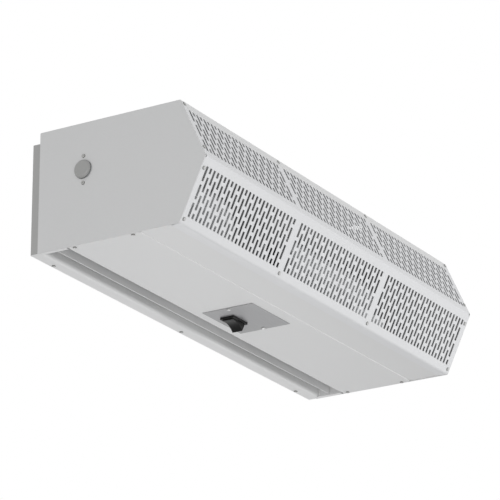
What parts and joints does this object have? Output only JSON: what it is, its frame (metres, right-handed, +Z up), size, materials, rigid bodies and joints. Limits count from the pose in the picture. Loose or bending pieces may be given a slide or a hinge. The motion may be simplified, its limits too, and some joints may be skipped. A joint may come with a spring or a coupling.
{
  "type": "air curtain",
  "caption": "Wall-hung air curtain: a sheet-metal cabinet with a slotted V-front intake, centrifugal blowers on a motor shaft, and a slot nozzle with a tilting vane that blows down a doorway.",
  "frame": {"origin": "middle of the four wall holes, on the back face of the mounting plate", "axes": "+X along the length towards the right end seen from the room facing the wall, +Y into the wall, +Z up; the intake faces -Y and the nozzle blows along -Z"},
  "size_m": [0.927, 0.3442, 0.2372],
  "materials": {
    "plate_grey": "satin grey powder coat",
    "cabinet_paint": "satin white powder coat",
    "grille_paint": "satin white powder coat",
    "galvanised": "plain galvanised sheet",
    "vane_paint": "satin white powder coat",
    "shaft_steel": "ground",
    "washer_nylon": "natural nylon",
    "wheel_aluminium": "plain pressed sheet",
    "motor_paint": "semi-gloss dark enamel",
    "cast_aluminium": "as die cast",
    "core_steel": "varnished laminations",
    "mount_rubber": "matt moulded rubber",
    "bearing_steel": "ground rings",
    "cap_grey": "fine satin moulding",
    "screw_steel": "zinc plated",
    "screw_painted": "satin white",
    "plate_aluminium": "satin grey anodised",
    "switch_black": "fine texture",
    "rocker_black": "soft gloss",
    "terminal_brass": "tinned blades",
    "can_aluminium": "drawn can",
    "block_plastic": "ivory moulding"
  },
  "bodies": {
    "cabinet": {"mounting_plate": "plate_grey", "left_end_panel": "cabinet_paint", "right_end_panel": "cabinet_paint", "top_cover": "cabinet_paint", "back_panel": "galvanised", "rear_lip": "cabinet_paint", "intake_grille": "grille_paint", "bottom_panel": "cabinet_paint", "front_pan": "cabinet_paint", "nozzle_front_wall": "galvanised", "left_nozzle_end": "cabinet_paint", "right_nozzle_end": "cabinet_paint", "fan_deck": "galvanised", "left_scroll_wrap": "galvanised", "right_scroll_wrap": "galvanised", "left_scroll_sides": "galvanised", "right_scroll_sides": "galvanised", "inlet_rings": "galvanised", "motor_shell": "motor_paint", "motor_end_bells": "cast_aluminium", "motor_stator": "core_steel", "motor_mount_rings": "mount_rubber", "motor_cradle": "galvanised", "bearing_flanges": "cast_aluminium", "ball_bearings": "bearing_steel", "left_end_cap": "cap_grey", "right_end_cap": "cap_grey", "end_cap_screws": "screw_steel", "control_plate": "plate_aluminium", "control_plate_screws": "screw_steel", "switch_housing": "switch_black", "switch_terminals": "terminal_brass", "motor_capacitor": "can_aluminium", "capacitor_strap": "galvanised", "wiring_box": "galvanised", "wiring_box_cover": "galvanised", "terminal_block": "block_plastic", "grille_screws": "screw_painted", "underside_screws": "screw_painted", "rear_lip_screws": "screw_painted", "top_screws": "screw_painted", "back_screws": "screw_steel"},
    "rotor": {"left_blower_wheel": "wheel_aluminium", "right_blower_wheel": "wheel_aluminium", "fan_shaft": "shaft_steel", "motor_rotor": "core_steel"},
    "vane": {"air_vane": "vane_paint", "vane_pivots": "shaft_steel", "vane_washers": "washer_nylon"},
    "rocker": {"switch_rocker": "rocker_black"}
  },
  "joints": [
    {"name": "fan_spin", "type": "hinge", "parent": "cabinet", "child": "rotor", "pos_m": [0, -0.1042, 0.0335], "axis": [-1, 0, 0], "continuous": true},
    {"name": "vane_tilt", "type": "hinge", "parent": "cabinet", "child": "vane", "pos_m": [0, -0.0477, -0.0802], "axis": [1, 0, 0], "range_deg": [-20, 20]},
    {"name": "switch_tilt", "type": "hinge", "parent": "cabinet", "child": "rocker", "pos_m": [-0.008, -0.1202, -0.0996], "axis": [0, -1, 0], "range_deg": [0, 40]}
  ]
}
